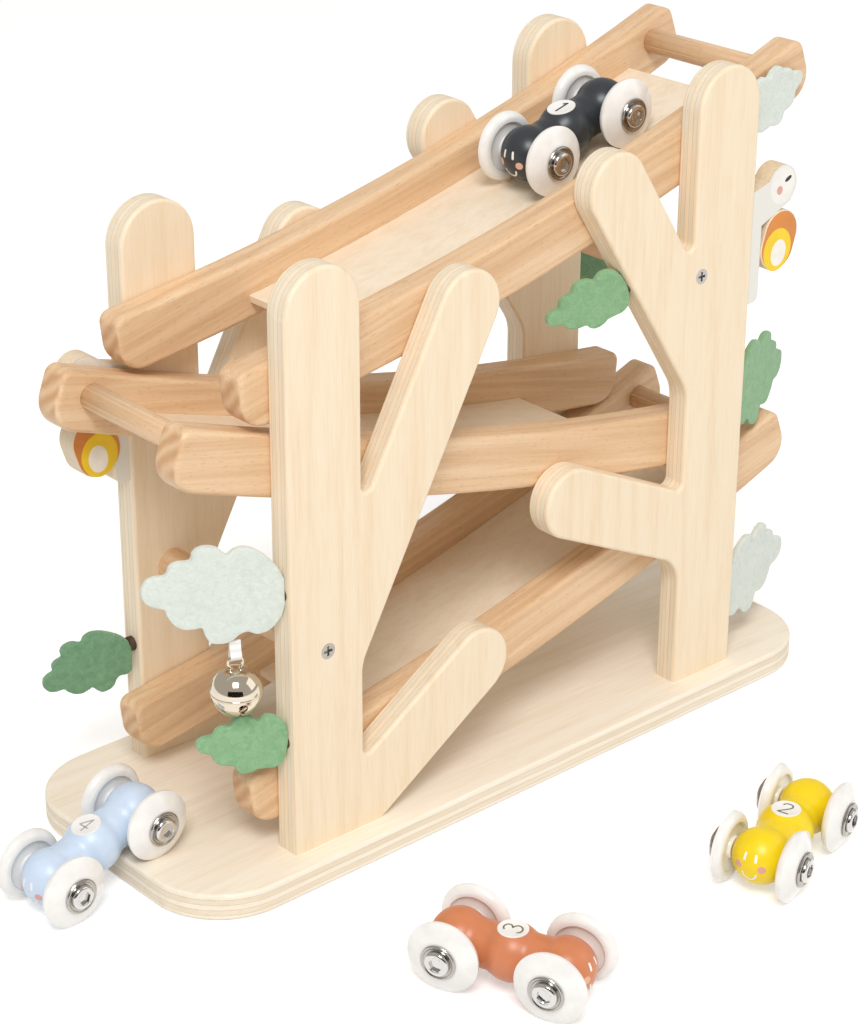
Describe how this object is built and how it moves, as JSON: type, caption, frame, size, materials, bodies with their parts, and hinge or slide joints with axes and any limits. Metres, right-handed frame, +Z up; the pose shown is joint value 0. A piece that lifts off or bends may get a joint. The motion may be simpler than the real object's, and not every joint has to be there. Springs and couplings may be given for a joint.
{
  "type": "click clack track toy",
  "caption": "Wooden click clack track toy: small cars roll down curved ramps hung between plywood trees with felt leaves, wooden snails and a bell.",
  "frame": {"origin": "centre of the base's underside", "axes": "+X along the base towards the high end of the top ramp, +Y towards the back, +Z up"},
  "size_m": [0.423, 0.2799, 0.301],
  "materials": {
    "plywood": "clear varnish",
    "beech": "oiled",
    "dark_peg": "stained",
    "pale_felt": "felt",
    "mid_green_felt": "felt",
    "dark_green_felt": "felt",
    "white_ribbon": "satin",
    "zinc_screw": "plated",
    "chrome_screw": "polished",
    "bell_metal": "polished",
    "white_wheel": "gloss",
    "snail_paint": "part painted",
    "charcoal_paint": "satin paint",
    "yellow_paint": "satin paint",
    "orange_paint": "satin paint",
    "blue_paint": "satin paint"
  },
  "bodies": {
    "toy": {"base_plate": "plywood", "front_left_tree": "plywood", "front_right_tree": "plywood", "back_left_tree": "plywood", "back_right_tree": "plywood", "top_front_rail": "beech", "top_back_rail": "beech", "top_floor": "plywood", "middle_front_rail": "beech", "middle_back_rail": "beech", "middle_floor": "plywood", "bottom_front_rail": "beech", "bottom_back_rail": "beech", "bottom_floor": "plywood", "top_stop_bar": "beech", "middle_stop_bar": "beech", "bottom_stop_bar": "beech", "left_cross_dowel": "beech", "right_cross_dowel": "beech", "dowel_screws": "zinc_screw", "base_screws": "zinc_screw", "front_left_high_leaf": "pale_felt", "front_left_low_leaf": "mid_green_felt", "back_left_leaf": "dark_green_felt", "front_right_branch_leaf": "mid_green_felt", "front_right_high_leaf": "pale_felt", "front_right_middle_leaf": "mid_green_felt", "front_right_low_leaf": "pale_felt", "back_right_leaf": "dark_green_felt", "leaf_pegs": "dark_peg", "right_snail": "snail_paint", "left_snail": "snail_paint"},
    "car_1": {"car_1_body": "charcoal_paint", "car_1_axle_screws": "chrome_screw"},
    "car_1_front_left_wheel": {"car_1_front_left_wheel": "white_wheel"},
    "car_1_front_right_wheel": {"car_1_front_right_wheel": "white_wheel"},
    "car_1_rear_left_wheel": {"car_1_rear_left_wheel": "white_wheel"},
    "car_1_rear_right_wheel": {"car_1_rear_right_wheel": "white_wheel"},
    "car_2": {"car_2_body": "yellow_paint", "car_2_axle_screws": "chrome_screw"},
    "car_2_front_left_wheel": {"car_2_front_left_wheel": "white_wheel"},
    "car_2_front_right_wheel": {"car_2_front_right_wheel": "white_wheel"},
    "car_2_rear_left_wheel": {"car_2_rear_left_wheel": "white_wheel"},
    "car_2_rear_right_wheel": {"car_2_rear_right_wheel": "white_wheel"},
    "car_3": {"car_3_body": "orange_paint", "car_3_axle_screws": "chrome_screw"},
    "car_3_front_left_wheel": {"car_3_front_left_wheel": "white_wheel"},
    "car_3_front_right_wheel": {"car_3_front_right_wheel": "white_wheel"},
    "car_3_rear_left_wheel": {"car_3_rear_left_wheel": "white_wheel"},
    "car_3_rear_right_wheel": {"car_3_rear_right_wheel": "white_wheel"},
    "car_4": {"car_4_body": "blue_paint", "car_4_axle_screws": "chrome_screw"},
    "car_4_front_left_wheel": {"car_4_front_left_wheel": "white_wheel"},
    "car_4_front_right_wheel": {"car_4_front_right_wheel": "white_wheel"},
    "car_4_rear_left_wheel": {"car_4_rear_left_wheel": "white_wheel"},
    "car_4_rear_right_wheel": {"car_4_rear_right_wheel": "white_wheel"},
    "bell": {"bell_shell": "bell_metal", "bell_ribbon": "white_ribbon"},
    "clapper": {"bell_clapper": "bell_metal"}
  },
  "joints": [
    {"name": "car_1_roll", "type": "hinge", "parent": "toy", "child": "car_1", "pos_m": [-0.28991, 0, 1.5004], "axis": [0, 1, 0], "range_deg": [-2, 5.6]},
    {"name": "car_2_roll", "type": "slide", "parent": "toy", "child": "car_2", "axis": [-0.9588, -0.284, 0], "range_m": [-0.12, 0.05]},
    {"name": "car_3_roll", "type": "slide", "parent": "toy", "child": "car_3", "axis": [0.3746, -0.9272, 0], "range_m": [-0.05, 0.12]},
    {"name": "car_4_roll", "type": "slide", "parent": "toy", "child": "car_4", "axis": [-0.9976, -0.0698, 0], "range_m": [-0.004, 0.009]},
    {"name": "car_1_front_left_wheel_turn", "type": "hinge", "parent": "car_1", "child": "car_1_front_left_wheel", "pos_m": [0.04835, -0.0169, 0.26238], "axis": [0, -1, 0], "continuous": true},
    {"name": "car_1_front_right_wheel_turn", "type": "hinge", "parent": "car_1", "child": "car_1_front_right_wheel", "pos_m": [0.04835, 0.0139, 0.26238], "axis": [0, -1, 0], "continuous": true},
    {"name": "car_1_rear_left_wheel_turn", "type": "hinge", "parent": "car_1", "child": "car_1_rear_left_wheel", "pos_m": [0.09174, -0.0169, 0.27507], "axis": [0, -1, 0], "continuous": true},
    {"name": "car_1_rear_right_wheel_turn", "type": "hinge", "parent": "car_1", "child": "car_1_rear_right_wheel", "pos_m": [0.09174, 0.0139, 0.27507], "axis": [0, -1, 0], "continuous": true},
    {"name": "car_2_front_left_wheel_turn", "type": "hinge", "parent": "car_2", "child": "car_2_front_left_wheel", "pos_m": [0.01391, -0.20239, 0.0152], "axis": [0.284, -0.9588, 0], "continuous": true},
    {"name": "car_2_front_right_wheel_turn", "type": "hinge", "parent": "car_2", "child": "car_2_front_right_wheel", "pos_m": [0.00516, -0.17285, 0.0152], "axis": [0.284, -0.9588, 0], "continuous": true},
    {"name": "car_2_rear_left_wheel_turn", "type": "hinge", "parent": "car_2", "child": "car_2_rear_left_wheel", "pos_m": [0.05724, -0.18955, 0.0152], "axis": [0.284, -0.9588, 0], "continuous": true},
    {"name": "car_2_rear_right_wheel_turn", "type": "hinge", "parent": "car_2", "child": "car_2_rear_right_wheel", "pos_m": [0.0485, -0.16001, 0.0152], "axis": [0.284, -0.9588, 0], "continuous": true},
    {"name": "car_3_front_left_wheel_turn", "type": "hinge", "parent": "car_3", "child": "car_3_front_left_wheel", "pos_m": [-0.09095, -0.18529, 0.0152], "axis": [0.9272, 0.3746, 0], "continuous": true},
    {"name": "car_3_front_right_wheel_turn", "type": "hinge", "parent": "car_3", "child": "car_3_front_right_wheel", "pos_m": [-0.11951, -0.19682, 0.0152], "axis": [0.9272, 0.3746, 0], "continuous": true},
    {"name": "car_3_rear_left_wheel_turn", "type": "hinge", "parent": "car_3", "child": "car_3_rear_left_wheel", "pos_m": [-0.10789, -0.14338, 0.0152], "axis": [0.9272, 0.3746, 0], "continuous": true},
    {"name": "car_3_rear_right_wheel_turn", "type": "hinge", "parent": "car_3", "child": "car_3_rear_right_wheel", "pos_m": [-0.13645, -0.15491, 0.0152], "axis": [0.9272, 0.3746, 0], "continuous": true},
    {"name": "car_4_front_left_wheel_turn", "type": "hinge", "parent": "car_4", "child": "car_4_front_left_wheel", "pos_m": [-0.21696, -0.02488, 0.0153], "axis": [0.0698, -0.9976, 0], "continuous": true},
    {"name": "car_4_front_right_wheel_turn", "type": "hinge", "parent": "car_4", "child": "car_4_front_right_wheel", "pos_m": [-0.21911, 0.00584, 0.0153], "axis": [0.0698, -0.9976, 0], "continuous": true},
    {"name": "car_4_rear_left_wheel_turn", "type": "hinge", "parent": "car_4", "child": "car_4_rear_left_wheel", "pos_m": [-0.17349, -0.02184, 0.0273], "axis": [0.0698, -0.9976, 0], "continuous": true},
    {"name": "car_4_rear_right_wheel_turn", "type": "hinge", "parent": "car_4", "child": "car_4_rear_right_wheel", "pos_m": [-0.17564, 0.00888, 0.0273], "axis": [0.0698, -0.9976, 0], "continuous": true},
    {"name": "bell_swing", "type": "hinge", "parent": "toy", "child": "bell", "pos_m": [-0.14977, -0.04645, 0.11431], "axis": [-0.9272, 0.3746, 0], "range_deg": [-35, 35]},
    {"name": "clapper_rise", "type": "slide", "parent": "bell", "child": "clapper", "axis": [0, 0, 1], "range_m": [0, 0.006]}
  ]
}
